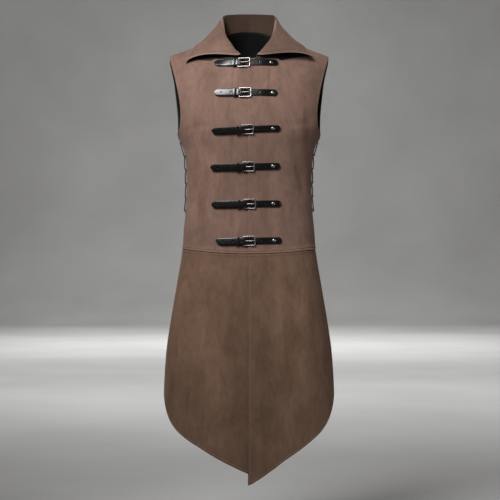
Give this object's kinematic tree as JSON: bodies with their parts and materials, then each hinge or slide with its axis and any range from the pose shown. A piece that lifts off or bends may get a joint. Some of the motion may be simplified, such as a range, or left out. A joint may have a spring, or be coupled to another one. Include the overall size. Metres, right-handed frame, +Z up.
{
  "type": "victorian vest",
  "caption": "Long hollow vest with a spread collar, lapped front closed by buckled straps, laced sides, a waist seam and a flared skirt with a pointed hem.",
  "frame": {"origin": "middle of the neck opening at the height of the shoulders, where the wearer's shoulders carry the garment", "axes": "+Z up along the wearer's back, -Y out of the wearer's front, +X towards the wearer's left hand"},
  "size_m": [0.4246, 0.2795, 1.169],
  "materials": {
    "suede": "brown faux suede with a short nap",
    "lining": "black woven lining",
    "strap": "black patent, glossy",
    "metal": "polished nickel plate",
    "cord": "black braided cord"
  },
  "bodies": {
    "root": {"front_bodice_right": "suede", "front_bodice_left": "suede", "back_bodice": "suede", "front_skirt_right": "suede", "front_skirt_left": "suede", "back_skirt": "suede", "upper_collar": "suede", "back_lining": "lining", "under_collar": "lining", "strap_1": "strap", "chape_1": "strap", "buckle_1": "metal", "rivet_1": "metal", "strap_2": "strap", "chape_2": "strap", "buckle_2": "metal", "rivet_2": "metal", "strap_3": "strap", "chape_3": "strap", "buckle_3": "metal", "rivet_3": "metal", "strap_4": "strap", "chape_4": "strap", "buckle_4": "metal", "rivet_4": "metal", "strap_5": "strap", "chape_5": "strap", "buckle_5": "metal", "rivet_5": "metal", "strap_6": "strap", "chape_6": "strap", "buckle_6": "metal", "rivet_6": "metal", "eyelet_right_front_1": "metal", "eyelet_right_front_2": "metal", "eyelet_right_front_3": "metal", "eyelet_right_front_4": "metal", "eyelet_right_front_5": "metal", "eyelet_right_front_6": "metal", "eyelet_right_back_1": "metal", "eyelet_right_back_2": "metal", "eyelet_right_back_3": "metal", "eyelet_right_back_4": "metal", "eyelet_right_back_5": "metal", "eyelet_right_back_6": "metal", "eyelet_left_front_1": "metal", "eyelet_left_front_2": "metal", "eyelet_left_front_3": "metal", "eyelet_left_front_4": "metal", "eyelet_left_front_5": "metal", "eyelet_left_front_6": "metal", "eyelet_left_back_1": "metal", "eyelet_left_back_2": "metal", "eyelet_left_back_3": "metal", "eyelet_left_back_4": "metal", "eyelet_left_back_5": "metal", "eyelet_left_back_6": "metal", "lace_right": "cord", "lace_left": "cord"}
  },
  "joints": []
}
